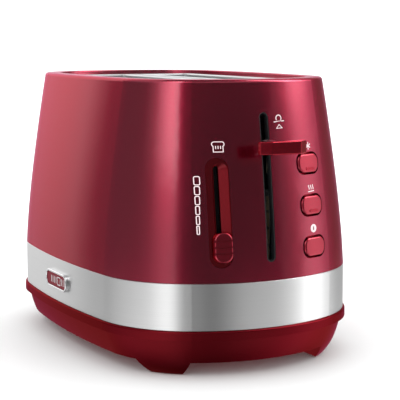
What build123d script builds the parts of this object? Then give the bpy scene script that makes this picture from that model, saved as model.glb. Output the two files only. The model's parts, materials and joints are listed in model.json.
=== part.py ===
from build123d import *
import math
import os

# Pop-up toaster with two bread slots side by side, a lever on one end face and a brushed steel band.
# Millimetres. X runs along the toaster from its rear end to its lever end, Y across it, Z up from the worktop.
# The long side that carries the badge faces -Y. The origin lies on the worktop under the middle of the whole
# toaster, lever knob and tray grip included, and lengths along X are counted from the middle of its body.

# ---------------------------------------------------------------- driving dimensions
overall_height = 190.0
half_length = 138.8  # body centre to the end face, at the band
half_width = 92.8  # body centre to the long side, at the band
side_arc = 628.0  # plan radius of the long sides
end_arc = 112.0  # plan radius of the end faces
corner_arc = 69.7  # plan radius of the corners between them
band_low = 32.0
band_high = 62.2
band_sheet = 1.0
shell_low = 62.4  # bottom of the visible shell
rim_inset = 16.2  # how far the rim stands inside the band's outline
barrel_power = 1.33  # curvature of the shell's side between band and rim
shell_wall = 2.6
ring_width, ring_thickness = 11.0, 3.0  # flat ring round the recessed deck
lip_proud = 1.4  # how far the base's lip stands outside the band
lip_low = 25.8
floor_low, floor_high = 9.7, 12.2  # floor of the base moulding
foot_bottom = 0.6  # the rubber pads stand this far out of the feet
lever_reach = 156.0  # body centre to the front of the lever knob
rear_reach = 146.0  # body centre to the tip of the crumb tray's grip
body_x = (rear_reach - lever_reach) / 2

lever_rest = 148.5  # height of the lever knob's middle when the carriage is up
lever_down = 69.0  # travel of the carriage from there to the bottom
lever_up = 15.5  # extra lift above it
lever_slot_low, lever_slot_high = 74.2, 169.2
browning_y = -33.2
browning_rest = 84.9  # height of the browning knob's middle at its lowest setting
browning_travel = 45.5
button_angle = 19.1  # plan angle of the button column, from the end face's centre of curvature
button_heights = {"cancel": 80.8, "reheat": 107.8, "defrost": 135.0}
button_travel = 2.2
bread_pitch = 26.0  # middle of each bread slot from the body's middle plane
bread_width = 32.0
bread_length = 142.0
chamber_half = 87.0  # body centre to the inner face of either chassis end plate
plate_sheet = 1.0
rack_low, rack_high = 112.0, 120.0  # bread racks at rest
guide_low, guide_high = 44.0, 172.0  # rails of the bread guides
guide_close = 5.2  # how far a guide moves in while the carriage goes down
rod_x = 97.0  # guide rod from the body centre
rod_radius = 2.5
running_gap = 0.06
moving_gap = 0.3  # gap round the pieces that travel
fit = 0.1  # gap round a piece that is seated in another
screw_radius = 1.5
tray_half = 48.5
tray_low, tray_high = 13.0, 20.0
screw_spots = [(x, y) for x in (-101.0, 101.0) for y in (-55.0, 55.0)]
chassis_spots = [(x, y) for x in (-81.5, 81.5) for y in (-57.0, 57.0)]

# ---------------------------------------------------------------- planes and plan geometry
ground = Plane(origin=(body_x, 0, 0))
lever_end = Plane(origin=(body_x, 0, 0), x_dir=(0, 1, 0), z_dir=(1, 0, 0))
long_side = Plane(origin=(body_x, 0, 0), x_dir=(1, 0, 0), z_dir=(0, -1, 0))

# A corner arc touches the side arc and the end arc from inside, which fixes its centre.
side_centre = side_arc - half_width  # centre of a long side's arc, beyond the body's middle plane
end_centre = half_length - end_arc
to_side = side_arc - corner_arc
to_end = end_arc - corner_arc
centres_apart = math.hypot(end_centre, side_centre)
along = (to_side**2 - to_end**2 + centres_apart**2) / (2 * centres_apart)
aside = math.sqrt(to_side**2 - along**2)
corner_x = (along * end_centre + aside * side_centre) / centres_apart
corner_y = (along * side_centre - aside * end_centre) / centres_apart - side_centre
side_turn = math.degrees(math.atan2(corner_y + side_centre, corner_x))
end_turn = math.degrees(math.atan2(corner_y, corner_x - end_centre))


def plan_outline(inset, mode=Mode.ADD):
    """Bulged rectangle of eight tangent arcs, inset mm inside the band's outline."""
    corner_turn = side_turn - end_turn
    with BuildLine() as outline:
        for turn, sign in ((0, 1), (180, -1)):
            CenterArc((sign * end_centre, 0), end_arc - inset, turn - end_turn, 2 * end_turn)
            near_corner = (sign * corner_x, sign * corner_y)
            CenterArc(near_corner, corner_arc - inset, turn + end_turn, corner_turn)
            CenterArc((0, -sign * side_centre), side_arc - inset, turn + side_turn, 180 - 2 * side_turn)
            far_corner = (-sign * corner_x, sign * corner_y)
            CenterArc(far_corner, corner_arc - inset, turn + 180 - side_turn, corner_turn)
    make_face(outline.edges(), mode=mode)


def shell_inset(z):
    """How far the shell's surface at height z stands inside the band's outline."""
    rise = max(z - shell_low, 0.0) / (overall_height - shell_low)
    return rim_inset * rise**barrel_power


def tower(sections, mode=Mode.ADD):
    """Loft through the plan outline at several (height, inset) pairs."""
    outlines = []
    for z, inset in sections:
        with BuildSketch(ground.offset(z)) as outline:
            plan_outline(inset)
        outlines.append(outline.sketch.face())
    loft(outlines, mode=mode)


def barrel(inset, mode=Mode.ADD):
    """Solid bounded by the shell's surface moved inwards by inset mm."""
    rise = (overall_height - shell_low) / 4
    levels = [shell_low + rise * step for step in range(5)]
    tower([(z, shell_inset(z) + inset) for z in levels], mode)


def prism(inset, low, high, mode=Mode.ADD):
    """Upright solid on the plan outline."""
    with BuildSketch(ground.offset(low)) as outline:
        plan_outline(inset)
    extrude(outline.sketch, amount=high - low, mode=mode)


def block(low, high, mode=Mode.ADD):
    """Box between two opposite corners."""
    with BuildSketch(ground.offset(low[2])) as base:
        with Locations(((low[0] + high[0]) / 2, (low[1] + high[1]) / 2)):
            Rectangle(high[0] - low[0], high[1] - low[1])
    extrude(base.sketch, amount=high[2] - low[2], mode=mode)


def post(spot, radius, low, high, mode=Mode.ADD):
    """Upright round bar or hole."""
    with BuildSketch(ground.offset(low)) as base:
        with Locations(spot):
            Circle(radius)
    extrude(base.sketch, amount=high - low, mode=mode)


def end_slot(y, width, low, high, start, stop, mode=Mode.ADD):
    """Bar or cut along X with a tall, round-ended section."""
    with BuildSketch(lever_end.offset(start)) as section:
        with Locations((y, (low + high) / 2)):
            SlotOverall(high - low, width, rotation=90)
    extrude(section.sketch, amount=stop - start, mode=mode)


def wall_x(y, z):
    """Distance of the end face's surface from the body centre."""
    return end_centre + math.sqrt((end_arc - shell_inset(z)) ** 2 - y**2)


def seat(inset, mode=Mode.ADD):
    """The base moulding's sloping wall, moved inwards by inset mm, from its underside up to the lip."""
    base_sections = ((0.6, 13.2), (4, 10.1), (9.7, 6.6), (16, 4.1), (25.8, 1.6))
    tower([(z, wall + inset) for z, wall in base_sections], mode)


os.makedirs("parts", exist_ok=True)

# ---------------------------------------------------------------- outer shell
# The button column's plane looks outwards: X across the wall, Y up, Z outwards from the centre of curvature.
button_turn = math.radians(button_angle)
button_out = (math.cos(button_turn), math.sin(button_turn), 0)
button_across = (-math.sin(button_turn), math.cos(button_turn), 0)
button_plane = Plane(origin=(body_x + end_centre, 0, 0), x_dir=button_across, z_dir=button_out)
button_width, button_height, button_corner = 19.8, 12.4, 5.2
button_gap = 1.15
button_reach = 1.1  # how far a cap stands out of the shell
board_front = 90.6  # control board, outwards from the centre of curvature
track_width, track_low, track_high = 14.4, 72.0, 141.2
skirt_inset, skirt_wall = 1.3, 2.5
post_radius, post_low, post_high = 4.2, 24.0, 70.0
rib_length, rib_rise = 16.2, 12.0

with BuildPart() as outer_shell:
    barrel(0)
    barrel(shell_wall, Mode.SUBTRACT)
    with BuildSketch(ground.offset(overall_height - ring_thickness)):
        plan_outline(rim_inset + 1)
        plan_outline(rim_inset + ring_width, Mode.SUBTRACT)
    extrude(amount=ring_thickness)
    rim = outer_shell.faces().sort_by(Axis.Z)[-1]
    fillet(rim.outer_wire().edges(), 2.4)
    rim = outer_shell.faces().sort_by(Axis.Z)[-1]
    fillet(rim.inner_wires()[0].edges(), 0.7)
    # skirt that carries the band and stands on the base
    with BuildSketch(ground.offset(band_low - 0.2)):
        plan_outline(skirt_inset)
        plan_outline(skirt_inset + skirt_wall, Mode.SUBTRACT)
    extrude(amount=shell_low - band_low + 0.5)
    # screw posts, each with a rib to the wall
    for x, y in screw_spots:
        post((x, y), post_radius, post_low, post_high)
        lean = math.atan2(y - math.copysign(corner_y, y), x - math.copysign(corner_x, x))
        with BuildSketch(ground.offset(post_low + rib_rise)):
            with Locations((x, y)):
                Rectangle(rib_length, 2, rotation=math.degrees(lean), align=(Align.MIN, Align.CENTER))
        extrude(amount=post_high - post_low - rib_rise)
        post((x, y), screw_radius + 0.05, post_low, post_low + 18, Mode.SUBTRACT)
    # bosses that hold the control board
    for z in (72.0, 144.0):
        boss_end = end_arc - shell_inset(z) - shell_wall / 2 - 1
        with BuildSketch(button_plane.offset(board_front)):
            with Locations((-15, z), (15, z)):
                Circle(2.5)
        extrude(amount=boss_end - board_front)
    # openings in the lever end
    end_slot(0, 6.6, lever_slot_low, lever_slot_high, 110, 150, Mode.SUBTRACT)
    end_slot(browning_y, track_width, track_low, track_high, 100, 150, Mode.SUBTRACT)
    with BuildSketch(button_plane.offset(94)):
        with Locations(*[(0, z) for z in button_heights.values()]):
            RectangleRounded(
                button_width + 2 * button_gap,
                button_height + 2 * button_gap,
                button_corner + button_gap,
            )
    extrude(amount=30, mode=Mode.SUBTRACT)
outer_shell.part.label = "outer_shell"
export_step(outer_shell.part, "parts/outer_shell.step")

with BuildPart() as trim_band:
    with BuildSketch(ground.offset(band_low)):
        plan_outline(0)
        plan_outline(band_sheet, Mode.SUBTRACT)
    extrude(amount=band_high - band_low)
    chamfer(trim_band.edges().group_by(Axis.Z)[-1], 0.3)
trim_band.part.label = "trim_band"
export_step(trim_band.part, "parts/trim_band.step")

# ---------------------------------------------------------------- base moulding
lip_high = band_low - 0.2
arch_flank_x = (97.0, 93.3)  # half length of the gap between the feet, on the worktop and under the floor
arch_flank_y = (50.5, 49.1)
pad_radius, pad_thickness = 3.6, 2.0
head_radius = 2.9
boss_radius, boss_high = 5.0, 24.0
tray_door_low, tray_door_high = 12.5, 20.7
gland_angle, gland_z = 56.0, 18.5  # round the rear corner, from the toaster's long axis
gland_turn = math.radians(gland_angle)
gland_out = (-math.cos(gland_turn), math.sin(gland_turn), 0)
gland_plane = Plane(origin=(body_x - corner_x, corner_y, gland_z), x_dir=(0, 0, 1), z_dir=gland_out)
neck_radius = 4.9

with BuildPart() as base_moulding:
    seat(0)
    with BuildSketch(ground.offset(lip_low)):
        plan_outline(-lip_proud)
    extrude(amount=lip_high - lip_low)
    fillet(base_moulding.edges().group_by(Axis.Z)[-1], 1.3)
    tower(((floor_high, 8.6), (22, 6.2), (lip_high, skirt_inset + skirt_wall)), Mode.SUBTRACT)
    for z, flank in zip((0.0, floor_low), arch_flank_x):
        with BuildSketch(ground.offset(z)):
            Rectangle(2 * flank, 4 * half_width)
    loft(mode=Mode.SUBTRACT)
    for z, flank in zip((0.0, floor_low), arch_flank_y):
        with BuildSketch(ground.offset(z)):
            Rectangle(4 * half_length, 2 * flank)
    loft(mode=Mode.SUBTRACT)
    for spot in screw_spots:
        post(spot, boss_radius, floor_high, boss_high)
    for spot in screw_spots:
        post(spot, screw_radius + 0.4, 0, boss_high, Mode.SUBTRACT)
        post(spot, head_radius + 0.2, 0, 8.5, Mode.SUBTRACT)
        post(spot, pad_radius + fit, 0, pad_thickness, Mode.SUBTRACT)
    for spot in chassis_spots:
        post(spot, screw_radius + 0.3, floor_low, floor_high, Mode.SUBTRACT)
    # runners and cooling slots under the crumb tray
    for y in (-45.0, 45.0):
        block((-126, y - 1, floor_high), (84, y + 1, floor_high + 0.5))
    with BuildSketch(ground.offset(floor_low)):
        with GridLocations(14, 44, 9, 2):
            SlotOverall(34, 4, rotation=90)
    extrude(amount=floor_high - floor_low, mode=Mode.SUBTRACT)
    # posts under the power board
    for spot in ((95.0, -38.0), (95.0, 38.0), (113.0, -38.0), (113.0, 38.0)):
        post(spot, 3, floor_high, 15.4)
    # doorway of the crumb tray and hole for the cord gland
    block((-half_length, -tray_half - 0.8, tray_door_low), (-110, tray_half + 0.8, tray_door_high), Mode.SUBTRACT)
    with BuildSketch(gland_plane.offset(corner_arc - 12)):
        Circle(neck_radius + fit)
    extrude(amount=14, mode=Mode.SUBTRACT)
base_moulding.part.label = "base_moulding"
export_step(base_moulding.part, "parts/base_moulding.step")

with BuildPart() as foot_pads:
    for spot in screw_spots:
        post(spot, pad_radius, 0, pad_thickness)
    chamfer(foot_pads.edges().group_by(Axis.Z)[0], 0.3)
foot_pads.part.label = "foot_pads"
export_step(foot_pads.part, "parts/foot_pads.step")

with BuildPart() as cord_gland:
    with BuildSketch(gland_plane.offset(corner_arc - 8)):
        Circle(neck_radius + 1.9)
    extrude(amount=7.6)
    fillet(cord_gland.edges().sort_by(Axis(gland_plane.origin, gland_out))[-1], 1.2)
    seat(-0.05, Mode.SUBTRACT)
    with BuildSketch(gland_plane.offset(corner_arc - 11.2)):
        Circle(neck_radius)
    extrude(amount=9)
    with BuildSketch(gland_plane.offset(corner_arc - 11.2)):
        Circle(neck_radius + 1)
    extrude(amount=2)
    with BuildSketch(gland_plane.offset(corner_arc - 12)):
        Circle(3.2)
    extrude(amount=14, mode=Mode.SUBTRACT)
cord_gland.part.label = "cord_gland"
export_step(cord_gland.part, "parts/cord_gland.step")

with BuildPart() as terminal_block:
    block((-80, 63.5, floor_high), (-50, 76, 24))
    for x in (-75.0, -65.0, -55.0):
        post((x, 67), 2.4, 21, 24, Mode.SUBTRACT)
        post((x, 67), 1.9, 20.9, 22.5)
        block((x - 2.5, 71, 18), (x + 2.5, 76, 22), Mode.SUBTRACT)
terminal_block.part.label = "terminal_block"
export_step(terminal_block.part, "parts/terminal_block.step")

with BuildPart() as chassis_screws:
    for spot in chassis_spots:
        post(spot, 3, floor_low - 2, floor_low)
        post(spot, screw_radius, floor_low - 1, 16)
chassis_screws.part.label = "chassis_screws"
export_step(chassis_screws.part, "parts/chassis_screws.step")

with BuildPart() as shell_screws:
    for spot in screw_spots:
        post(spot, head_radius, 6, 8.5)
        post(spot, screw_radius, 8, 38)
        post(spot, 1.4, 5, 7, Mode.SUBTRACT)
shell_screws.part.label = "shell_screws"
export_step(shell_screws.part, "parts/shell_screws.step")

# ---------------------------------------------------------------- crumb tray
with BuildPart() as crumb_tray:
    prism(8.6, tray_low, tray_high)
    block((-half_length, -tray_half, tray_low), (84, tray_half, tray_high), Mode.INTERSECT)
    with BuildSketch(ground.offset(tray_low + 1)):
        plan_outline(9.6)
        with Locations((-half_length / 2, 0)):
            Rectangle(166 + half_length, 2 * tray_half - 2, mode=Mode.INTERSECT)
    extrude(amount=tray_high - tray_low, mode=Mode.SUBTRACT)
crumb_tray.part.label = "crumb_tray"
export_step(crumb_tray.part, "parts/crumb_tray.step")

with BuildPart() as crumb_tray_handle:
    seat(0)
    door = (-half_length, -tray_half - 0.2, tray_low)
    block(door, (-100, tray_half + 0.2, tray_high + 0.2), Mode.INTERSECT)
    prism(8.5, 0, lip_low, Mode.SUBTRACT)
    with BuildSketch(ground.offset(tray_low + 1)):
        with Locations((-rear_reach, 0)):
            RectangleRounded(20, 36, 6, align=(Align.MIN, Align.CENTER))
    extrude(amount=5)
    prism(8.5, 0, lip_low, Mode.SUBTRACT)
crumb_tray_handle.part.label = "crumb_tray_handle"
export_step(crumb_tray_handle.part, "parts/crumb_tray_handle.step")

# ---------------------------------------------------------------- badge on the band
badge_x, badge_z = -1.0, 46.8
badge_length, badge_height, badge_corner = 39.0, 12.5, 5.4
badge_rim = 1.6

with BuildPart() as badge_frame:
    with BuildSketch(long_side.offset(half_width - 1)):
        with Locations((badge_x, badge_z)):
            RectangleRounded(badge_length, badge_height, badge_corner)
            RectangleRounded(
                badge_length - 2 * badge_rim,
                badge_height - 2 * badge_rim,
                badge_corner - badge_rim,
                mode=Mode.SUBTRACT,
            )
    extrude(amount=3)
    fillet(badge_frame.faces().sort_by(Axis.Y)[0].edges(), 0.5)
    prism(-0.02, band_low, band_high, Mode.SUBTRACT)
badge_frame.part.label = "badge_frame"
export_step(badge_frame.part, "parts/badge_frame.step")

with BuildPart() as badge_plate:
    with BuildSketch(long_side.offset(half_width - 1)):
        with Locations((badge_x, badge_z)):
            RectangleRounded(
                badge_length - 2 * badge_rim - 2 * fit,
                badge_height - 2 * badge_rim - 2 * fit,
                badge_corner - badge_rim - fit,
            )
    extrude(amount=2.2)
    prism(-0.02, band_low, band_high, Mode.SUBTRACT)
badge_plate.part.label = "badge_plate"
export_step(badge_plate.part, "parts/badge_plate.step")

# ---------------------------------------------------------------- top deck
deck_low, deck_high = 185.8, overall_height - ring_thickness
hole_reach = 4.0  # the deck's holes are this much wider than the bread slots all round
collar_low, collar_wall = 177.5, 1.2
collar_rim, collar_lip = 5.6, 0.8
slot_corner = 2.5

with BuildPart() as top_deck:
    with BuildSketch(ground.offset(deck_low)):
        plan_outline(rim_inset + 4.3)
        with Locations((0, -bread_pitch), (0, bread_pitch)):
            RectangleRounded(
                bread_length + 2 * hole_reach,
                bread_width + 2 * hole_reach,
                slot_corner + hole_reach,
                mode=Mode.SUBTRACT,
            )
    extrude(amount=deck_high - deck_low)
top_deck.part.label = "top_deck"
export_step(top_deck.part, "parts/top_deck.step")

# collars that line the bread slots: a wall hanging below the deck, a seat in its hole and a lip on top of it
collar_steps = (
    (collar_low, deck_low, collar_wall),
    (deck_low, deck_high + fit, hole_reach - fit),
    (deck_high + fit, deck_high + fit + collar_lip, collar_rim),
)
for name, y in (("near_slot_collar", -bread_pitch), ("far_slot_collar", bread_pitch)):
    with BuildPart() as slot_collar:
        for low, high, reach in collar_steps:
            with BuildSketch(ground.offset(low)):
                with Locations((0, y)):
                    RectangleRounded(bread_length + 2 * reach, bread_width + 2 * reach, slot_corner + reach)
            extrude(amount=high - low)
        with BuildSketch(ground.offset(collar_low)):
            with Locations((0, y)):
                RectangleRounded(bread_length, bread_width, slot_corner)
        extrude(amount=overall_height - collar_low, mode=Mode.SUBTRACT)
        lip_top = slot_collar.faces().sort_by(Axis.Z)[-1]
        fillet(lip_top.outer_wire().edges(), 0.5)
        lip_top = slot_collar.faces().sort_by(Axis.Z)[-1]
        fillet(lip_top.inner_wires()[0].edges(), 0.9)
    slot_collar.part.label = name
    export_step(slot_collar.part, f"parts/{name}.step")

# ---------------------------------------------------------------- chassis
plate_low, plate_high = 22.5, 185.6
plate_half = 60.0
leg_in, leg_out = 54.0, 62.0
tab_reach, tab_half, tab_sheet = 104.0, 9.0, 1.5

for name, side in (("front_plate", 1), ("rear_plate", -1)):
    with BuildPart() as end_plate:
        face_x = chamber_half if side > 0 else -chamber_half - plate_sheet
        flange_x = chamber_half - 10 if side > 0 else -chamber_half - plate_sheet
        block((face_x, -plate_half, plate_low), (face_x + plate_sheet, plate_half, plate_high))
        for leg_y in (leg_in, -leg_out):
            leg_far = leg_y + leg_out - leg_in
            block((face_x, leg_y, floor_high), (face_x + plate_sheet, leg_far, plate_low))
            block((flange_x, leg_y, floor_high), (flange_x + 10 + plate_sheet, leg_far, floor_high + 1.2))
        for spot in chassis_spots:
            post(spot, screw_radius + 0.05, floor_high, floor_high + 1.2, Mode.SUBTRACT)
        for y in (-bread_pitch, bread_pitch):
            block((face_x, y - 1.5, 40), (face_x + plate_sheet, y + 1.5, 139), Mode.SUBTRACT)
        for z in (guide_low, guide_high):
            for low_y in (-45.0, -16.0, 7.0, 36.0):
                block((face_x, low_y, z - 1.3), (face_x + plate_sheet, low_y + 9, z + 1.3), Mode.SUBTRACT)
        if side > 0:
            for z in (plate_low - 0.5, 176.0):
                block((face_x, -tab_half, z), (tab_reach, tab_half, z + tab_sheet))
            post((rod_x, 0), rod_radius + 0.05, plate_low - 0.5, 178, Mode.SUBTRACT)
    end_plate.part.label = name
    export_step(end_plate.part, f"parts/{name}.step")

for name, side in (("near_reflector", -1), ("far_reflector", 1)):
    with BuildPart() as reflector:
        low_y = leg_in if side > 0 else -leg_in - 0.6
        block((-chamber_half, low_y, 30), (chamber_half, low_y + 0.6, 178))
        with BuildSketch(Plane.XZ.offset(-80)):
            with Locations((body_x, 104)):
                with GridLocations(24, 60, 6, 2):
                    SlotOverall(30, 5, rotation=90)
        extrude(amount=160, mode=Mode.SUBTRACT)
    reflector.part.label = name
    export_step(reflector.part, f"parts/{name}.step")

# ---------------------------------------------------------------- heaters
card_sheet, ribbon_sheet, ribbon_width = 0.8, 0.3, 1.6
card_low, card_high = 38.0, 170.0
ribbon_half, ribbon_pitch, ribbon_rows = 78.0, 12.0, 11
heaters = (
    ("near_outer", -49.5, 1),
    ("near_inner", -4.0, -1),
    ("far_inner", 4.0, 1),
    ("far_outer", 49.5, -1),
)

for name, card_y, bread_side in heaters:
    with BuildPart() as mica_card:
        half_card = card_sheet / 2
        block((-chamber_half, card_y - half_card, card_low), (chamber_half, card_y + half_card, card_high))
    mica_card.part.label = f"mica_card_{name}"
    export_step(mica_card.part, f"parts/mica_card_{name}.step")

    with BuildPart() as heater_ribbon:
        card_face = card_y + bread_side * card_sheet / 2
        ribbon_face = min(card_face, card_face + bread_side * ribbon_sheet)
        for row in range(ribbon_rows):
            z = 44 + row * ribbon_pitch
            block(
                (-ribbon_half, ribbon_face, z),
                (ribbon_half, ribbon_face + ribbon_sheet, z + ribbon_width),
            )
            link_x = ribbon_half - ribbon_width if row % 2 else -ribbon_half
            if row < ribbon_rows - 1:
                block(
                    (link_x, ribbon_face, z),
                    (link_x + ribbon_width, ribbon_face + ribbon_sheet, z + ribbon_pitch),
                )
    heater_ribbon.part.label = f"heater_ribbon_{name}"
    export_step(heater_ribbon.part, f"parts/heater_ribbon_{name}.step")

# ---------------------------------------------------------------- bread guides
wire = 0.9
guide_reach = 89.8
guides = (("near_outer", -42.5), ("near_inner", -9.5), ("far_inner", 9.5), ("far_outer", 42.5))

for name, guide_y in guides:
    with BuildPart() as bread_guide:
        with Locations(*[(body_x + step * 16, guide_y, guide_low) for step in range(-4, 5)]):
            Cylinder(wire, guide_high - guide_low, align=(Align.CENTER, Align.CENTER, Align.MIN))
        with Locations(*[(body_x, guide_y, z) for z in (guide_low, guide_high)]):
            Cylinder(wire, 2 * guide_reach, rotation=(0, 90, 0))
    bread_guide.part.label = f"bread_guide_{name}"
    export_step(bread_guide.part, f"parts/bread_guide_{name}.step")

# ---------------------------------------------------------------- bread carriage
bracket_x, bracket_sheet = 91.0, 1.2
slider_x = bracket_x + bracket_sheet
arm_x = 103.5
carriage_low, carriage_high = 105.0, 156.0
shelf_low, shelf_high = 113.8, 115.0
arm_half, arm_low, arm_high = 1.8, lever_rest - 3.2, lever_rest + 3.2
arm_front = 152.0
knob_back, knob_shoulder = 148.8, 151.75  # the knob is a shallow visor: its sides are only this deep
knob_half, knob_face_half, knob_height = 16.75, 10.3, 8.3

for name, rack_y in (("near_bread_rack", -bread_pitch), ("far_bread_rack", bread_pitch)):
    with BuildPart() as bread_rack:
        block((-92, rack_y - 0.75, rack_low), (bracket_x, rack_y + 0.75, rack_high))
        for step in range(-4, 4):
            x = step * 16 + 8
            block((x - 0.75, rack_y - 9.5, rack_high - 3), (x + 0.75, rack_y + 9.5, rack_high))
    bread_rack.part.label = name
    export_step(bread_rack.part, f"parts/{name}.step")

with BuildPart() as carriage_bracket:
    block((bracket_x, -34, 110), (slider_x, 34, 126))
    block((bracket_x, -8, carriage_low), (slider_x, 8, carriage_high))
    block((bracket_x, 17, shelf_low), (106, 36, shelf_high))
    block((bracket_x, -36, shelf_low), (106, -20, shelf_high))
carriage_bracket.part.label = "carriage_bracket"
export_step(carriage_bracket.part, "parts/carriage_bracket.step")

with BuildPart() as carriage_slider:
    block((slider_x, -7, carriage_low), (arm_x, 7, carriage_high))
    fillet(carriage_slider.edges().filter_by(Axis.Z).sort_by(Axis.X)[-2:], 2)
    post((rod_x, 0), rod_radius + running_gap, carriage_low, carriage_high, Mode.SUBTRACT)
carriage_slider.part.label = "carriage_slider"
export_step(carriage_slider.part, "parts/carriage_slider.step")

with BuildPart() as lever_arm:
    block((arm_x, -5, arm_low), (arm_x + 2, 5, arm_high))
    block((arm_x, -arm_half, arm_low), (arm_front, arm_half, arm_high))
lever_arm.part.label = "lever_arm"
export_step(lever_arm.part, "parts/lever_arm.step")

with BuildPart() as lever_knob:
    with BuildSketch(ground.offset(lever_rest - knob_height / 2)):
        with BuildLine():
            Polyline(
                (knob_back, -knob_half),
                (knob_shoulder, -knob_half),
                (lever_reach, -knob_face_half),
                (lever_reach, knob_face_half),
                (knob_shoulder, knob_half),
                (knob_back, knob_half),
                close=True,
            )
        make_face()
    extrude(amount=knob_height)
    fillet(lever_knob.edges().filter_by(Axis.Z), 0.9)
    fillet(lever_knob.faces().sort_by(Axis.Z)[-1].edges(), 0.8)
    fillet(lever_knob.faces().sort_by(Axis.Z)[0].edges(), 0.8)
    pocket_half = arm_half + fit
    pocket_low = (knob_back, -pocket_half, arm_low - fit)
    block(pocket_low, (arm_front + fit, pocket_half, arm_high + fit), Mode.SUBTRACT)
lever_knob.part.label = "lever_knob"
export_step(lever_knob.part, "parts/lever_knob.step")

with BuildPart() as guide_rod:
    post((rod_x, 0), rod_radius, 21, 179)
guide_rod.part.label = "guide_rod"
export_step(guide_rod.part, "parts/guide_rod.step")

spring_low, spring_high = 23.9, 104.6
spring_radius, spring_wire, spring_turns = 4.6, 0.4, 13
spring_rise = spring_high - spring_low - 2 * spring_wire

with BuildPart() as return_spring:
    with BuildLine(Plane(origin=(body_x + rod_x, 0, spring_low + spring_wire))) as coil:
        Helix(spring_rise / spring_turns, spring_rise, spring_radius)
    with BuildSketch(Plane(origin=coil.line @ 0, z_dir=coil.line % 0)):
        Circle(spring_wire)
    sweep(path=coil.line, is_frenet=True)
return_spring.part.label = "return_spring"
export_step(return_spring.part, "parts/return_spring.step")

with BuildPart() as lever_slot_liner:
    slot_low, slot_high = lever_slot_low, lever_slot_high
    end_slot(0, 6.4, slot_low + fit, slot_high - fit, 110, 150)
    barrel(0.25, Mode.INTERSECT)
    barrel(4.2, Mode.SUBTRACT)
    with BuildPart(mode=Mode.PRIVATE) as liner_flange:
        end_slot(0, 11, slot_low - 2.2, slot_high + 2.2, 110, 150)
        barrel(shell_wall + 0.05, Mode.INTERSECT)
        barrel(4.2, Mode.SUBTRACT)
    add(liner_flange.part)
    end_slot(0, 5, slot_low + 0.8, slot_high - 0.8, 110, 150, Mode.SUBTRACT)
lever_slot_liner.part.label = "lever_slot_liner"
export_step(lever_slot_liner.part, "parts/lever_slot_liner.step")

# ---------------------------------------------------------------- browning control
# The knob slides along the chord of the wall. Its plane has X across the toaster, Y up the chord, Z outwards.
slide_low_x = wall_x(browning_y, browning_rest)
slide_high_x = wall_x(browning_y, browning_rest + browning_travel)
slide_lean = math.atan2(slide_low_x - slide_high_x, browning_travel)
slide_out = (math.cos(slide_lean), 0, math.sin(slide_lean))
slide_origin = (body_x + slide_low_x, browning_y, browning_rest)
slide_plane = Plane(origin=slide_origin, x_dir=(0, 1, 0), z_dir=slide_out)
pot_front, pot_back = 8.5, 15.0  # inwards from the wall
track_slot, track_slot_low, track_slot_high = 3.5, 79.5, 136.0
dish_rim, dish_depth, dish_angle = 5.2, 1.5, 55.0  # the track's face slopes down to its slot on all sides
stem_half_width, stem_half_height = 1.2, 4.5

with BuildPart() as browning_track:
    end_slot(browning_y, track_width - 2 * fit, track_low + fit, track_high - fit, 100, 150)
    barrel(0.7, Mode.INTERSECT)
    barrel(4.2, Mode.SUBTRACT)
    with BuildPart(mode=Mode.PRIVATE) as track_flange:
        end_slot(browning_y, track_width + 5, track_low - 2.5, track_high + 2.5, 100, 150)
        barrel(shell_wall + 0.05, Mode.INTERSECT)
        barrel(4.2, Mode.SUBTRACT)
    add(track_flange.part)
    end_slot(browning_y, track_slot, track_slot_low, track_slot_high, 100, 150, Mode.SUBTRACT)
    with BuildSketch(slide_plane.offset(-dish_depth - 0.7)):
        with Locations((0, (track_slot_low + track_slot_high) / 2 - browning_rest)):
            SlotOverall(track_slot_high - track_slot_low, track_slot + 0.6, rotation=90)
    extrude(amount=dish_rim, taper=-dish_angle, mode=Mode.SUBTRACT)
    # pegs that carry the potentiometer's board
    with BuildPart(mode=Mode.PRIVATE) as board_pegs:
        with BuildSketch(slide_plane.offset(-pot_back)):
            with Locations((-7, -6), (7, -6), (-7, 50), (7, 50)):
                Circle(1.6)
        extrude(amount=2 * pot_back)
        barrel(3.6, Mode.INTERSECT)
    add(board_pegs.part)
browning_track.part.label = "browning_track"
export_step(browning_track.part, "parts/browning_track.step")

knob_wide, knob_tall, knob_corner, knob_proud = 11.4, 19.7, 5.5, 4.4
groove_width, groove_depth = 1.3, 1.1

with BuildPart() as browning_knob:
    with BuildSketch(slide_plane.offset(-10)):
        RectangleRounded(knob_wide, knob_tall, knob_corner)
    extrude(amount=20)
    barrel(-knob_proud, Mode.INTERSECT)
    front = browning_knob.faces().sort_by(Axis(slide_plane.origin, slide_out))[-1]
    fillet(front.edges(), 1.2)
    # three grip grooves across the front
    with BuildPart(mode=Mode.PRIVATE) as grooves:
        with BuildSketch(slide_plane.offset(-5)):
            with Locations((0, -3.6), (0, 0.4), (0, 4.4)):
                Rectangle(2 * knob_wide, groove_width)
        extrude(amount=20)
        barrel(groove_depth - knob_proud, Mode.SUBTRACT)
    add(grooves.part, mode=Mode.SUBTRACT)
    barrel(-0.8, Mode.SUBTRACT)
    with BuildSketch(slide_plane.offset(2)):
        Rectangle(2 * stem_half_width, 2 * stem_half_height)
    extrude(amount=-(2 + pot_front + 2.7))
browning_knob.part.label = "browning_knob"
export_step(browning_knob.part, "parts/browning_knob.step")

with BuildPart() as browning_pot:
    with BuildSketch(slide_plane.offset(-pot_back)):
        with Locations((0, 23)):
            Rectangle(9, 62)
    extrude(amount=pot_back - pot_front)
    with BuildSketch(slide_plane.offset(-pot_front - 3)):
        with Locations((0, browning_travel / 2)):
            Rectangle(4, browning_travel + 2 * stem_half_height + 1)
    extrude(amount=3, mode=Mode.SUBTRACT)
browning_pot.part.label = "browning_pot"
export_step(browning_pot.part, "parts/browning_pot.step")

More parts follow.
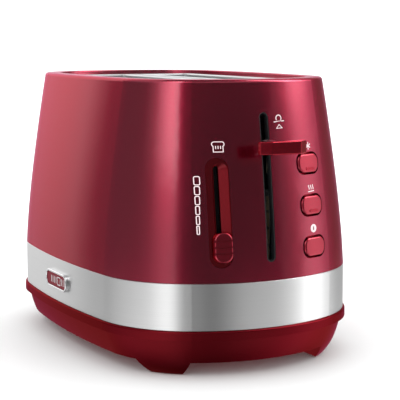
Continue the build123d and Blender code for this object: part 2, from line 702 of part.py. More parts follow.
with BuildPart() as browning_board:
    with BuildSketch(slide_plane.offset(-pot_back - 1.6)):
        with Locations((0, 23)):
            Rectangle(22, 78)
    extrude(amount=1.6)
browning_board.part.label = "browning_board"
export_step(browning_board.part, "parts/browning_board.step")

# ---------------------------------------------------------------- push buttons
button_line = Axis(button_plane.origin, button_out)
switch_high = 95.6
lens_drop, lens_width, lens_height, lens_gap = 3.4, 8.2, 1.9, 0.4

for name, button_z in button_heights.items():
    flange_face = end_arc - shell_inset(button_z + 8) - shell_wall - 0.9
    lens_seat = end_arc - shell_inset(button_z - lens_drop) + 1
    with BuildPart() as button:
        with BuildSketch(button_plane.offset(flange_face - 0.6)):
            with Locations((0, button_z)):
                RectangleRounded(button_width, button_height, button_corner)
        extrude(amount=20)
        barrel(-button_reach, Mode.INTERSECT)
        fillet(button.faces().sort_by(button_line)[-1].edges(), 1.3)
        with BuildSketch(button_plane.offset(flange_face - 1.2)):
            with Locations((0, button_z)):
                RectangleRounded(24, 16, 3)
        extrude(amount=1.2)
        with BuildSketch(button_plane.offset(switch_high + button_travel + moving_gap)):
            with Locations((0, button_z)):
                Circle(2)
        extrude(until=Until.NEXT)
        if name != "cancel":
            with BuildSketch(button_plane.offset(lens_seat)):
                with Locations((0.4, button_z - lens_drop)):
                    SlotOverall(lens_width + 2 * lens_gap, lens_height + 2 * lens_gap)
            extrude(amount=10, mode=Mode.SUBTRACT)
    button.part.label = f"{name}_button"
    export_step(button.part, f"parts/{name}_button.step")

    if name != "cancel":
        with BuildPart() as lens:
            with BuildSketch(button_plane.offset(lens_seat)):
                with Locations((0.4, button_z - lens_drop)):
                    SlotOverall(lens_width, lens_height)
            extrude(amount=10)
            barrel(-button_reach - 0.2, Mode.INTERSECT)
        lens.part.label = f"{name}_lens"
        export_step(lens.part, f"parts/{name}_lens.step")

# ---------------------------------------------------------------- boards and switchgear
with BuildPart() as control_board:
    with BuildSketch(button_plane.offset(board_front - 1.6)):
        with Locations((0, 108)):
            Rectangle(36, 84)
    extrude(amount=1.6)
control_board.part.label = "control_board"
export_step(control_board.part, "parts/control_board.step")

with BuildPart() as button_switches:
    with BuildSketch(button_plane.offset(board_front)):
        with Locations(*[(0, z) for z in button_heights.values()]):
            Rectangle(7, 7)
    extrude(amount=3.6)
    with BuildSketch(button_plane.offset(board_front + 3.6)):
        with Locations(*[(0, z) for z in button_heights.values()]):
            Circle(1.7)
    extrude(amount=switch_high - board_front - 3.6)
button_switches.part.label = "button_switches"
export_step(button_switches.part, "parts/button_switches.step")

board_low, board_high = 15.4, 17.0

with BuildPart() as power_board:
    block((90, -44, board_low), (118, 44, board_high))
power_board.part.label = "power_board"
export_step(power_board.part, "parts/power_board.step")

with BuildPart() as board_components:
    post((112, -8), 4, board_high, 29)
    post((112, 4), 3, board_high, 26)
    block((108, 12, board_high), (117, 32, 31))
    block((108, -40, board_high), (116, -24, 28))
    block((91, 38.5, board_high), (106, 43, 22))
board_components.part.label = "board_components"
export_step(board_components.part, "parts/board_components.step")

core_x = (96.0, 103.5)
core_high = 41.8

with BuildPart() as magnet_yoke:
    block((core_x[0], 17, board_high), (core_x[1], 36, board_high + 4))
    for low_y, width in ((17.0, 3.5), (24.5, 4.0), (32.5, 3.5)):
        block((core_x[0], low_y, board_high), (core_x[1], low_y + width, core_high))
magnet_yoke.part.label = "magnet_yoke"
export_step(magnet_yoke.part, "parts/magnet_yoke.step")

with BuildPart() as magnet_bobbin:
    block((95.1, 23.6, 21.2), (104.4, 29.4, 40))
    for z in (21.2, 39.0):
        block((93, 20.7, z), (106.5, 32.3, z + 1))
    block((core_x[0] - fit, 24.4, 21), (core_x[1] + fit, 28.6, 41), Mode.SUBTRACT)
magnet_bobbin.part.label = "magnet_bobbin"
export_step(magnet_bobbin.part, "parts/magnet_bobbin.step")

with BuildPart() as magnet_winding:
    block((93.4, 21.1, 22.3), (106.1, 31.9, 38.9))
    fillet(magnet_winding.edges().filter_by(Axis.Z), 2)
    block((95.0, 23.5, 22), (104.5, 29.5, 39), Mode.SUBTRACT)
magnet_winding.part.label = "magnet_winding"
export_step(magnet_winding.part, "parts/magnet_winding.step")

with BuildPart() as armature_plate:
    block((94, 18, shelf_low - 2.6), (105, 35, shelf_low))
armature_plate.part.label = "armature_plate"
export_step(armature_plate.part, "parts/armature_plate.step")

with BuildPart() as mains_switch:
    block((93, -35, board_high), (106, -21, 36))
    for x in (96.0, 101.0):
        block((x, -34, 30), (x + 2, -22, 36), Mode.SUBTRACT)
mains_switch.part.label = "mains_switch"
export_step(mains_switch.part, "parts/mains_switch.step")

with BuildPart() as mains_contacts:
    for x in (96.4, 101.4):
        block((x, -33, 30), (x + 1.2, -31.5, 44.2))
        block((x, -33, 43.2), (x + 1.2, -24, 44.2))
mains_contacts.part.label = "mains_contacts"
export_step(mains_contacts.part, "parts/mains_contacts.step")
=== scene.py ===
import json
import math

import bmesh
import bpy
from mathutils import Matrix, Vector


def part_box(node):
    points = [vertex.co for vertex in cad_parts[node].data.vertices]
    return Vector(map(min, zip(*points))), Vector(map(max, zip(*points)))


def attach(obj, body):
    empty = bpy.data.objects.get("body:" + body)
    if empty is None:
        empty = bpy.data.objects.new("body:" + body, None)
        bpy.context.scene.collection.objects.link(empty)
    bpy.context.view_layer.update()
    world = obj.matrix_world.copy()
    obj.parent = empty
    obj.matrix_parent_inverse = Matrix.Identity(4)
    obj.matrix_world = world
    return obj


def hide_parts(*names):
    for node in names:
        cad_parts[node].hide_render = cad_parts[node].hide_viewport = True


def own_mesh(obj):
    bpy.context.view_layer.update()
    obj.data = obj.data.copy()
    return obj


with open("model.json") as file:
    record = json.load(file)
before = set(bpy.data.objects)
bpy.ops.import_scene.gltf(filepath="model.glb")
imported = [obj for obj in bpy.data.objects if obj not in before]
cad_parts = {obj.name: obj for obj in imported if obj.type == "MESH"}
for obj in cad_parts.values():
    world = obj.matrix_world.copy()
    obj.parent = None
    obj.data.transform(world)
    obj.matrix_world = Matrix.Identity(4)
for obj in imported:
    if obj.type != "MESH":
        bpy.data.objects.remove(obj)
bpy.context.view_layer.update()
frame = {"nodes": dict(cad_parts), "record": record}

# ------------------------------------------------------------------ the faces that prints lie on, in metres
OVERALL_HEIGHT = 0.190
SHELL_LOW = 0.0624  # where the shell starts to lean inwards
RIM_INSET = 0.0162  # how far in the wall stands at the rim
BARREL_POWER = 1.33  # more than 1, so the wall bulges
BODY_X = -0.005  # middle of the body, from which the plan's arcs are measured
END_ARC, END_CENTRE = 0.112, 0.0268  # wide arc of the lever end, centred on the middle line
CORNER_ARC, CORNER_X, CORNER_Y = 0.0697, 0.0644029, 0.0193729  # tighter arc at each corner
BADGE_FACE = 0.0940


def shell_inset(z):
    rise = max(z - SHELL_LOW, 0.0) / (OVERALL_HEIGHT - SHELL_LOW)
    return RIM_INSET * rise ** BARREL_POWER


def on_end_face(y, z, proud=0.0):
    """Point on the lever end's wall at the given y and z, moved outwards by proud."""
    inset = shell_inset(z) - proud
    x = END_CENTRE + math.sqrt((END_ARC - inset) ** 2 - y * y)
    if abs(y) > CORNER_Y / (END_ARC - CORNER_ARC) * (END_ARC - inset):
        x = CORNER_X + math.sqrt((CORNER_ARC - inset) ** 2 - (abs(y) - CORNER_Y) ** 2)
    return Vector((BODY_X + x, y, z))


def on_badge(x, z, proud=0.0):
    """Point on the badge's face at the given x and z, moved outwards by proud."""
    return Vector((x, -BADGE_FACE - proud, z))


# ------------------------------------------------------------------ materials
GRAIN_ROUGHNESS = 0.06  # how far the grain moves a surface's roughness up and down
FLAKE_SCALE, FLAKE_SHADE, FLAKE_TILT = 5200.0, 0.14, 0.000004
PEEL_SCALE, PEEL_DEPTH = 420.0, 0.000002  # faint waves in a clear coat
EDGE_TINT = (1.0, 0.08, 0.40, 1.0)  # what metallic paint reflects at a grazing angle
BRUSH_STRETCH = (6, 6, 9000)  # streaks run round the Z axis and are very fine along it
BRUSH_SHADE, BRUSH_ROUGHNESS, BRUSH_DEPTH = 0.10, 0.20, 0.000004
BRUSH_ANISOTROPY, BRUSH_TURN = 0.75, 0.25


def add_node(tree, kind, **values):
    """New node, with values for its own properties or for its sockets of those names."""
    node = tree.nodes.new(kind)
    for key, value in values.items():
        if hasattr(node, key):
            setattr(node, key, value)
        else:
            node.inputs[key.replace("_", " ")].default_value = value
    return node


def new_material(name):
    """Node material, with its node tree and its shader."""
    made = bpy.data.materials.new(name)
    made.use_nodes = True
    return made, made.node_tree, made.node_tree.nodes["Principled BSDF"]


def set_sockets(shader, **values):
    for key, value in values.items():
        shader.inputs[key.replace("_", " ")].default_value = value


def texture(tree, kind, stretch=None, **values):
    """Texture node laid over the object's own coordinates, stretched by a factor on each axis."""
    place = add_node(tree, "ShaderNodeTexCoord").outputs["Object"]
    if stretch:
        mapping = add_node(tree, "ShaderNodeMapping", Scale=stretch)
        tree.links.new(place, mapping.inputs["Vector"])
        place = mapping.outputs["Vector"]
    node = add_node(tree, kind, **values)
    tree.links.new(place, node.inputs["Vector"])
    return node


def shade_by(tree, shader, factor, colour, vary):
    """Base colour from a share vary darker to a share vary lighter, as factor goes from 0 to 1."""
    mix = add_node(tree, "ShaderNodeMix", data_type="RGBA")
    mix.inputs["A"].default_value = (*[c * (1 - vary) for c in colour], 1)
    mix.inputs["B"].default_value = (*[min(c * (1 + vary), 1) for c in colour], 1)
    tree.links.new(factor, mix.inputs["Factor"])
    tree.links.new(mix.outputs["Result"], shader.inputs["Base Color"])


def roughen_by(tree, shader, factor, low, high):
    spread = add_node(tree, "ShaderNodeMapRange", To_Min=low, To_Max=high)
    tree.links.new(factor, spread.inputs["Value"])
    tree.links.new(spread.outputs["Result"], shader.inputs["Roughness"])


def bump_by(tree, target, factor, depth):
    """Bump, depth metres deep, put on the target socket."""
    relief = add_node(tree, "ShaderNodeBump", Strength=1.0, Distance=depth)
    tree.links.new(factor, relief.inputs["Height"])
    tree.links.new(relief.outputs["Normal"], target)


def surface(name, colour, rough, metallic=0.0, vary=0.12, patch=45.0, grain=2500.0, bump=0.00002,
            stretch=(1, 1, 1), specular=0.5):
    """Material with broad colour variation, fine grain in its roughness and a shallow bump."""
    made, tree, shader = new_material(name)
    broad = texture(tree, "ShaderNodeTexNoise", stretch, Scale=patch, Detail=3.0).outputs["Fac"]
    fine = texture(tree, "ShaderNodeTexNoise", stretch, Scale=grain, Detail=2.0).outputs["Fac"]
    shade_by(tree, shader, broad, colour, vary)
    roughen_by(tree, shader, fine, rough - GRAIN_ROUGHNESS, rough + GRAIN_ROUGHNESS)
    bump_by(tree, shader.inputs["Normal"], fine, bump)
    set_sockets(shader, Metallic=metallic, Specular_IOR_Level=specular)
    return made


def lacquer(name, colour, rough, coat_rough, coat, coat_ior=1.5):
    """Metallic paint: tiny flakes that tilt the reflection a little, under a clear coat."""
    made, tree, shader = new_material(name)
    flakes = texture(tree, "ShaderNodeTexVoronoi", Scale=FLAKE_SCALE)
    grey = add_node(tree, "ShaderNodeRGBToBW")
    tree.links.new(flakes.outputs["Color"], grey.inputs["Color"])
    shade_by(tree, shader, grey.outputs["Val"], colour, FLAKE_SHADE)
    bump_by(tree, shader.inputs["Normal"], grey.outputs["Val"], FLAKE_TILT)
    wave = texture(tree, "ShaderNodeTexNoise", Scale=PEEL_SCALE, Detail=1.0)
    bump_by(tree, shader.inputs["Coat Normal"], wave.outputs["Fac"], PEEL_DEPTH)
    set_sockets(shader, Metallic=1.0, Roughness=rough, Specular_Tint=EDGE_TINT,
                Coat_Weight=coat, Coat_Roughness=coat_rough, Coat_IOR=coat_ior)
    return made


def brushed(name, colour, rough):
    """Brushed metal whose streaks run round the Z axis."""
    made, tree, shader = new_material(name)
    lines = texture(tree, "ShaderNodeTexNoise", BRUSH_STRETCH, Scale=1.0, Detail=4.0, Roughness=0.7)
    streaks = lines.outputs["Fac"]
    shade_by(tree, shader, streaks, colour, BRUSH_SHADE)
    roughen_by(tree, shader, streaks, rough * (1 - BRUSH_ROUGHNESS), rough * (1 + BRUSH_ROUGHNESS))
    bump_by(tree, shader.inputs["Normal"], streaks, BRUSH_DEPTH)
    direction = add_node(tree, "ShaderNodeTangent", direction_type="RADIAL", axis="Z")
    tree.links.new(direction.outputs["Tangent"], shader.inputs["Tangent"])
    set_sockets(shader, Metallic=1.0, Anisotropic=BRUSH_ANISOTROPY, Anisotropic_Rotation=BRUSH_TURN)
    return made


# Lacquers: colour, roughness of the paint, roughness of its coat. Surfaces: colour, roughness.
materials = {
    "shell_red": lacquer("shell_lacquer", (0.37, 0.013, 0.046), 0.26, 0.08, coat=0.33, coat_ior=2.3),
    "band_steel": brushed("band_brushed_steel", (0.76, 0.76, 0.76), 0.34),
    # painted shade: the base's red is the shell's red painted darker, standing in for the shadow under the
    # body
    "base_red": lacquer("base_lacquer_painted_shade", (0.165, 0.004, 0.009), 0.42, 0.30, coat=0.1),
    "deck_silver": surface("deck_silver", (0.70, 0.70, 0.71), 0.34, metallic=1.0, vary=0.03,
                           stretch=(0.05, 1, 1), grain=1800.0),
    "foot_rubber": surface("foot_rubber", (0.025, 0.025, 0.026), 0.75, bump=0.00006),
    "badge_silver": surface("badge_silver", (0.86, 0.86, 0.87), 0.16, metallic=1.0, vary=0.02),
    "badge_red": surface("badge_red", (0.17, 0.006, 0.016), 0.45, specular=0.15),
    "lever_red": lacquer("lever_lacquer", (0.42, 0.008, 0.026), 0.20, 0.06, coat=0.6),
    "control_red": lacquer("control_lacquer", (0.42, 0.010, 0.034), 0.30, 0.14, coat=0.5, coat_ior=1.8),
    "lens_smoke": lacquer("lens_smoke", (0.36, 0.010, 0.026), 0.34, 0.16, coat=0.5),
    "carriage_steel": surface("zinc_plate", (0.60, 0.60, 0.62), 0.32, metallic=1.0, vary=0.08),
    "black_plastic": surface("black_plastic", (0.012, 0.012, 0.013), 0.42, bump=0.00003, specular=0.4),
    "track_red": lacquer("track_lacquer", (0.27, 0.006, 0.014), 0.30, 0.14, coat=0.6),
    "board_green": surface("board_green", (0.02, 0.13, 0.06), 0.35, vary=0.2, patch=300.0),
    "chassis_sheet": surface("galvanised_sheet", (0.62, 0.63, 0.65), 0.36, metallic=1.0, vary=0.10,
                             patch=160.0),
    "screw_steel": surface("screw_steel", (0.42, 0.42, 0.44), 0.35, metallic=1.0),
    "contact_brass": surface("contact_brass", (0.78, 0.56, 0.24), 0.25, metallic=1.0),
    "winding_copper": surface("winding_copper", (0.62, 0.26, 0.12), 0.30, metallic=1.0,
                              stretch=(0.05, 0.05, 1), bump=0.0001),
    "mica": surface("mica_board", (0.50, 0.43, 0.31), 0.45, vary=0.25, patch=220.0, specular=0.6),
    "ribbon_metal": surface("heater_ribbon", (0.34, 0.32, 0.30), 0.42, metallic=1.0, vary=0.18,
                            patch=500.0),
    "guide_wire": surface("plated_wire", (0.66, 0.66, 0.67), 0.22, metallic=1.0, vary=0.06),
}
slots = {row["node"]: row["material_slot"] for row in frame["record"]["subparts"]}
for name, obj in frame["nodes"].items():
    for slot in obj.material_slots:
        slot.material = materials[slots[name]]

# ------------------------------------------------------------------ prints, drawn in mm across a face
MM = 0.001
PRINT_HALF_DEPTH = 0.00006
MITRE_LIMIT = 0.45  # keeps the outside of a sharp corner short
TINY = 1e-9  # a step too short to have a direction
print_ink = surface("print_ink", (0.82, 0.68, 0.69), 0.45, vary=0.05, patch=900.0)
stop_ink = surface("stop_ink", (0.10, 0.006, 0.010), 0.45, vary=0.05, patch=900.0)


def new_object(name, mesh, paint):
    """Object in the scene made from a bmesh, which is freed."""
    data = bpy.data.meshes.new(name)
    mesh.to_mesh(data)
    mesh.free()
    data.materials.append(paint)
    made = bpy.data.objects.new(name, data)
    bpy.context.collection.objects.link(made)
    return made


def heading(step, otherwise):
    return step.normalized() if step.length > TINY else otherwise


def strip_edges(stroke, closed, width):
    """The two edge points of a strip of this width at each point of a stroke."""
    points = [Vector(p) for p in stroke]
    count = len(points)
    edges = []
    for i, p in enumerate(points):
        before = points[(i - 1) % count] if closed or i > 0 else p
        after = points[(i + 1) % count] if closed or i < count - 1 else p
        arriving = heading(p - before, (after - p).normalized())
        leaving = heading(after - p, arriving)
        along = heading(arriving + leaving, arriving)
        across = Vector((-along.y, along.x))
        reach = width / 2 / max(across.dot(Vector((-leaving.y, leaving.x))), MITRE_LIMIT)
        edges.append((p - across * reach, p + across * reach))
    return edges


def print_mesh(name, strokes, width, raise_by=0.0, place=on_end_face, ink=print_ink):
    """Closed thin strips that follow a face. Each stroke is its points and whether it is a loop."""
    mesh = bmesh.new()
    for stroke, closed in strokes:
        rows = [
            [
                mesh.verts.new(place(q.x * MM, q.y * MM, raise_by + depth))
                for q in edges
                for depth in (-PRINT_HALF_DEPTH, PRINT_HALF_DEPTH)
            ]
            for edges in strip_edges(stroke, closed, width)
        ]
        pairs = list(zip(rows, rows[1:])) + ([(rows[-1], rows[0])] if closed else [])
        for a, b in pairs:
            for i, j in ((0, 1), (1, 3), (3, 2), (2, 0)):
                mesh.faces.new((a[i], b[i], b[j], a[j]))
        if not closed:
            for inner_low, inner_high, outer_low, outer_high in (rows[0], rows[-1]):
                mesh.faces.new((inner_low, inner_high, outer_high, outer_low))
    bmesh.ops.recalc_face_normals(mesh, faces=mesh.faces)
    piece = new_object(name, mesh, ink)
    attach(piece, "toaster")


def arc(y, z, radius, start, stop, steps):
    turns = [math.radians(start + (stop - start) * i / steps) for i in range(steps + 1)]
    return [(y + radius * math.cos(a), z + radius * math.sin(a)) for a in turns]


def rounded_box(y, z, wide, tall, corner, steps=4):
    points = []
    for out, up, start in ((1, 1, 0), (-1, 1, 90), (-1, -1, 180), (1, -1, 270)):
        centre = y + out * (wide / 2 - corner), z + up * (tall / 2 - corner)
        points += arc(*centre, corner, start, start + 90, steps)
    return points


def bread_slice(middle, base, side, shoulder, ear, ear_up, radius, tuck, steps):
    """Outline of a slice: straight sides, and a round ear at each top corner that tucks in below."""
    return (
        [(middle - side, base), (middle - side, base + shoulder)]
        + arc(middle - ear, base + ear_up, radius, 180 + tuck, 90, steps)
        + arc(middle + ear, base + ear_up, radius, 90, -tuck, steps)
        + [(middle + side, base + shoulder), (middle + side, base)]
    )


def upright(y, low, high):
    """Open stroke straight up."""
    return [(y, low), (y, high)], False


# browning scale: outlined cells, narrower towards the light end
SCALE_CELLS, SCALE_TOP, SCALE_PITCH = 6, 127.1, 6.17
SCALE_RIGHT, RIGHT_STEP = -43.8, 0.36
CELL_WIDE, CELL_NARROWING, CELL_TALL = 3.4, 0.40, 5.2
CELL_CORNER, CORNER_SHARE = 0.9, 0.32
cells = []
for step in range(SCALE_CELLS):
    wide = CELL_WIDE - CELL_NARROWING * step
    middle = SCALE_RIGHT - RIGHT_STEP * step - wide / 2
    corner = min(CELL_CORNER, wide * CORNER_SHARE)
    cells.append((rounded_box(middle, SCALE_TOP - SCALE_PITCH * step, wide, CELL_TALL, corner), True))
print_mesh("print_browning_scale", cells, width=0.56)

# slice of bread above the browning control, with three strokes of heat in it
SLICE_MIDDLE, STROKE_PITCH = -31.6, 1.5
crust = bread_slice(SLICE_MIDDLE, base=144.9, side=3.0, shoulder=3.5, ear=2.3, ear_up=4.8, radius=1.5,
                    tuck=25, steps=8)
toasting = [upright(SLICE_MIDDLE + STROKE_PITCH * side, low=146.8, high=148.7) for side in (-1, 0, 1)]
print_mesh("print_slice", [(crust, True)] + toasting, width=0.5)

# bread lift: a dome over a bar, and a triangle under it
dome = arc(11.2, 165.0, radius=2.0, start=-38, stop=218, steps=18)
bar = [(7.2, 162.7), (15.4, 163.3)]
triangle = [(9.2, 158.6), (13.6, 158.8), (11.3, 161.0)]
print_mesh("print_lift", [(dome, False), (bar, False)], width=0.6)
print_mesh("print_triangle", [(triangle, True)], width=0.5)

# snowflake over the defrost button: three crossed spokes
FLAKE_MIDDLE, FLAKE_REACH = Vector((35.2, 146.1)), 2.4
spokes = []
for turn in (90, 150, 210):
    spoke = FLAKE_REACH * Vector((math.cos(math.radians(turn)), math.sin(math.radians(turn))))
    spokes.append(([FLAKE_MIDDLE + spoke, FLAKE_MIDDLE - spoke], False))
print_mesh("print_snowflake", spokes, width=0.6)

# waves of heat over a line, above the reheat button
WAVE_BASE, WAVE_RISE, WAVE_SWING, WAVE_TURN, WAVE_POINTS = 117.9, 0.42, 0.35, 0.9, 8
heat = [([(32.6, 116.5), (38.3, 116.9)], False)]
for y in (33.5, 35.4, 37.3):
    wave = [(y + WAVE_SWING * math.sin(WAVE_TURN * t), WAVE_BASE + WAVE_RISE * t) for t in range(WAVE_POINTS)]
    heat.append((wave, False))
print_mesh("print_heat", heat, width=0.62)

# disc with a stop mark, above the cancel button
STOP_Y, STOP_Z, STOP_SIDES = 35.9, 92.6, 24
ring = arc(STOP_Y, STOP_Z, radius=1.6, start=0, stop=360 - 360 / STOP_SIDES, steps=STOP_SIDES - 1)
disc = upright(STOP_Y, STOP_Z - 0.6, STOP_Z + 0.6)
stop_mark = upright(STOP_Y, STOP_Z - 1.1, STOP_Z + 1.1)
print_mesh("print_cancel_disc", [disc], width=4.6)
print_mesh("print_cancel_ring", [(ring, True)], width=2.2)
print_mesh("print_cancel_mark", [stop_mark], width=0.9, raise_by=PRINT_HALF_DEPTH, ink=stop_ink)

# badge: a slice of bread between bars of heat
BADGE_MIDDLE, BAR_FIRST, BAR_PITCH, BARS = -1.0, 5.4, 3.0, 4
badge_slice = bread_slice(BADGE_MIDDLE, base=44.1, side=2.4, shoulder=3.1, ear=1.9, ear_up=4.1, radius=1.2,
                          tuck=35, steps=6)
heat_bars = [
    upright(BADGE_MIDDLE + side * (BAR_FIRST + BAR_PITCH * step), low=44.4, high=49.2)
    for side in (-1, 1)
    for step in range(BARS)
]
silver = materials["badge_silver"]
print_mesh("print_badge_slice", [(badge_slice, True)], width=0.7, place=on_badge, ink=silver)
print_mesh("print_badge_bars", heat_bars, width=1.0, place=on_badge, ink=silver)

# ------------------------------------------------------------------ return spring, a coil wound where the part's spring stands
SPRING_TURNS, SPRING_WIRE = 13, 0.0004  # number of turns, and the wire's radius
TURN_STEPS, WIRE_SIDES = 28, 8


def coil_spring():
    """Round wire wound where the return spring is, capped at both ends."""
    low, high = (Vector(corner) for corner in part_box("return_spring"))
    middle = (low + high) / 2
    radius = (high.x - low.x) / 2 - SPRING_WIRE
    rise = high.z - low.z - 2 * SPRING_WIRE
    mesh = bmesh.new()
    rings = []
    for step in range(SPRING_TURNS * TURN_STEPS + 1):
        share = step / (SPRING_TURNS * TURN_STEPS)
        turn = 2 * math.pi * SPRING_TURNS * share
        outwards = Vector((math.cos(turn), math.sin(turn), 0))
        centre = Vector((middle.x, middle.y, low.z + SPRING_WIRE + rise * share)) + radius * outwards
        ring = []
        for side in range(WIRE_SIDES):
            a = 2 * math.pi * side / WIRE_SIDES
            offset = outwards * math.cos(a) + Vector((0, 0, math.sin(a)))
            ring.append(mesh.verts.new(centre + SPRING_WIRE * offset))
        rings.append(ring)
    for one, two in zip(rings, rings[1:]):
        for i in range(WIRE_SIDES):
            j = (i + 1) % WIRE_SIDES
            mesh.faces.new((one[i], one[j], two[j], two[i])).smooth = True
    mesh.faces.new(rings[0])
    mesh.faces.new(rings[-1])
    bmesh.ops.recalc_face_normals(mesh, faces=mesh.faces)
    piece = new_object("coil_spring", mesh, materials["carriage_steel"])
    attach(piece, "toaster")
    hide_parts("return_spring")
    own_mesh(piece)


coil_spring()

# ------------------------------------------------------------------ lights
SURROUND_RADIUS, SURROUND_LOW, SURROUND_HIGH, SURROUND_SIDES = 6.0, -22.0, 14.0, 96
LOWEST, HIGHEST = -75, 67  # elevation of the surround's two edges, in degrees
# Each light: (azimuth in degrees, brightness) stops, then (elevation in degrees, share) stops.
LIGHTS = {
    "left_softbox": (
        ((-180, 0), (-92, 0), (-77, 0.35), (-67, 1.3), (-57, 2.3), (-49, 2.5), (-46, 2.0), (-43, 0),
         (180, 0)),
        ((LOWEST, 0.15), (8, 0.22), (12, 0.95), (15, 1), (HIGHEST, 1)),
    ),
    "right_softbox": (
        ((-180, 0), (44, 0), (51, 0.7), (61, 5.2), (66, 5.9), (73, 5.2), (84, 1.7), (90, 0.4), (98, 0),
         (180, 0)),
        ((LOWEST, 0.09), (9, 0.2), (13, 0.36), (18, 1), (HIGHEST, 1)),
    ),
    "white_backdrop": (
        ((-180, 0.72), (-153, 0.76), (-146, 0), (118, 0), (150, 0.5), (180, 0.72)),
        ((LOWEST, 0.25), (-15, 0.3), (5, 1.2), (12, 1.5), (26, 1.4), (42, 0.6), (HIGHEST, 0.5)),
    ),
    "dim_studio": (
        ((-180, 0.26), (-42, 0.26), (-38, 0.11), (36, 0.11), (40, 0.3), (118, 0.3), (180, 0.26)),
        ((LOWEST, 0.5), (-15, 1), (HIGHEST, 1)),
    ),
    "ceiling": (
        ((-180, 0.42), (180, 0.42)),
        ((LOWEST, 0), (20, 0), (40, 1), (HIGHEST, 1)),
    ),
    "floor_sheen": (
        ((-180, 0.16), (-148, 0.25), (-115, 0.75), (-90, 1.05), (-57, 0.85), (-38, 0.6), (-13, 0.07),
         (12, 0.85), (33, 0.85), (58, 0.55), (84, 0.55), (130, 0.4), (180, 0.16)),
        ((LOWEST, 0), (-50, 0), (-27, 1.2), (-20, 1.25), (-9, 0.25), (-5, 0), (HIGHEST, 0)),
    ),
}


def combine(tree, operation, *values):
    """Output of a maths node, whose values are numbers or other nodes' outputs."""
    node = add_node(tree, "ShaderNodeMath", operation=operation)
    for socket, value in zip(node.inputs, values):
        if isinstance(value, bpy.types.NodeSocket):
            tree.links.new(value, socket)
        else:
            socket.default_value = value
    return node.outputs[0]


def curve(tree, stops, reading, low, high):
    """Brightness along (angle, value) stops, read by an output that goes from 0 at low to 1 at high."""
    peak = max(value for _, value in stops)
    node = add_node(tree, "ShaderNodeValToRGB")
    elements = node.color_ramp.elements
    while len(elements) < len(stops):
        elements.new(0.5)
    for element, (angle, value) in zip(elements, stops):
        element.position = (angle - low) / (high - low)
        element.color = (value / peak, value / peak, value / peak, 1)
    tree.links.new(reading, node.inputs["Fac"])
    return combine(tree, "MULTIPLY", node.outputs["Color"], peak)


def surround_paint():
    """Glow whose strength is the sum of the lights in each direction."""
    made = bpy.data.materials.new("surround_glow")
    made.use_nodes = True
    made.cycles.emission_sampling = "NONE"
    tree = made.node_tree
    tree.nodes.clear()
    split = add_node(tree, "ShaderNodeSeparateXYZ")
    tree.links.new(add_node(tree, "ShaderNodeTexCoord").outputs["Object"], split.inputs[0])
    turn = combine(tree, "ARCTAN2", split.outputs["Y"], split.outputs["X"])
    around = combine(tree, "MULTIPLY_ADD", turn, 0.5 / math.pi, 0.5)
    rise = combine(tree, "ARCTAN2", split.outputs["Z"], SURROUND_RADIUS)
    span = HIGHEST - LOWEST
    upward = combine(tree, "MULTIPLY_ADD", rise, math.degrees(1) / span, -LOWEST / span)
    total = 0.0
    for by_turn, by_rise in LIGHTS.values():
        brightness = curve(tree, by_turn, around, -180, 180)
        share = curve(tree, by_rise, upward, LOWEST, HIGHEST)
        total = combine(tree, "ADD", total, combine(tree, "MULTIPLY", brightness, share))
    glow = add_node(tree, "ShaderNodeEmission")
    tree.links.new(total, glow.inputs["Strength"])
    tree.links.new(glow.outputs[0], add_node(tree, "ShaderNodeOutputMaterial").inputs["Surface"])
    return made


def light_surround():
    """Round studio wall that only reflections see."""
    mesh = bmesh.new()
    turns = [2 * math.pi * side / SURROUND_SIDES for side in range(SURROUND_SIDES)]
    low, high = (
        [mesh.verts.new((SURROUND_RADIUS * math.cos(a), SURROUND_RADIUS * math.sin(a), z)) for a in turns]
        for z in (SURROUND_LOW, SURROUND_HIGH)
    )
    for i in range(SURROUND_SIDES):
        j = (i + 1) % SURROUND_SIDES
        mesh.faces.new((low[i], low[j], high[j], high[i]))
    wall = new_object("light_surround", mesh, surround_paint())
    wall.visible_camera = False
    wall.visible_diffuse = False
    wall.visible_shadow = False


light_surround()

WORLD_STRENGTH = 1.35
world = bpy.data.worlds.new("studio")
bpy.context.scene.world = world
world.use_nodes = True
set_sockets(world.node_tree.nodes["Background"], Color=(1, 1, 1, 1), Strength=WORLD_STRENGTH)
world.cycles_visibility.glossy = False
bpy.context.scene.view_settings.view_transform = "Standard"
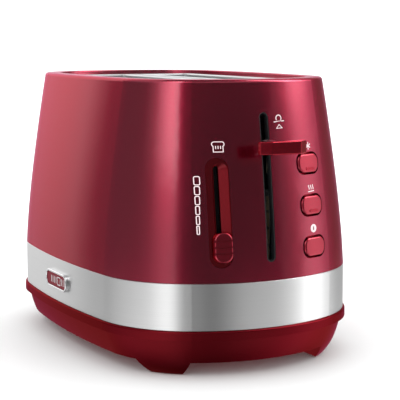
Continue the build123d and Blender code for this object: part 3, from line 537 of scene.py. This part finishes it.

# ------------------------------------------------------------------ floor, with a painted glow that grows away from the toaster, so it is whiter further out
FLOOR_REACH = 6.0
FLOOR_GLOW_FROM, FLOOR_GLOW_TO, FLOOR_GLOW = 0.06, 0.36, 0.5


def floor_glow_paint():
    made, tree, shader = new_material("floor_painted_glow")
    set_sockets(shader, Base_Color=(0.86, 0.87, 0.87, 1), Roughness=0.6, Specular_IOR_Level=0.1,
                Emission_Color=(1, 1, 1, 1))
    # painted light: the floor glows, from none near the toaster up to FLOOR_GLOW further out
    distance = add_node(tree, "ShaderNodeVectorMath", operation="LENGTH")
    fade = add_node(tree, "ShaderNodeMapRange", interpolation_type="SMOOTHSTEP",
                    From_Min=FLOOR_GLOW_FROM, From_Max=FLOOR_GLOW_TO, To_Max=FLOOR_GLOW)
    tree.links.new(add_node(tree, "ShaderNodeTexCoord").outputs["Object"], distance.inputs[0])
    tree.links.new(distance.outputs["Value"], fade.inputs["Value"])
    tree.links.new(fade.outputs["Result"], shader.inputs["Emission Strength"])
    return made


floor_mesh = bmesh.new()
floor_mesh.faces.new([
    floor_mesh.verts.new((FLOOR_REACH * x, FLOOR_REACH * y, 0))
    for x, y in ((-1, -1), (1, -1), (1, 1), (-1, 1))
])
floor = new_object("floor", floor_mesh, floor_glow_paint())
floor.visible_glossy = False

# ------------------------------------------------------------------ camera
CAMERA_PLACE = (0.83306, -0.40722, 0.21797)
CAMERA_AZIMUTH, CAMERA_PITCH = math.radians(63.05), math.radians(-7.23)
CAMERA_LENS, CAMERA_SENSOR, CAMERA_SHIFT = 115.7, 36.0, -0.005
camera_data = bpy.data.cameras.new("camera")
camera_data.lens = CAMERA_LENS
camera_data.sensor_width = CAMERA_SENSOR
camera_data.shift_y = CAMERA_SHIFT
camera = bpy.data.objects.new("camera", camera_data)
bpy.context.collection.objects.link(camera)
camera.location = CAMERA_PLACE
sight = Vector((
    -math.sin(CAMERA_AZIMUTH) * math.cos(CAMERA_PITCH),
    math.cos(CAMERA_AZIMUTH) * math.cos(CAMERA_PITCH),
    math.sin(CAMERA_PITCH),
))
camera.rotation_mode = "QUATERNION"
camera.rotation_quaternion = sight.to_track_quat("-Z", "Y")
bpy.context.scene.camera = camera
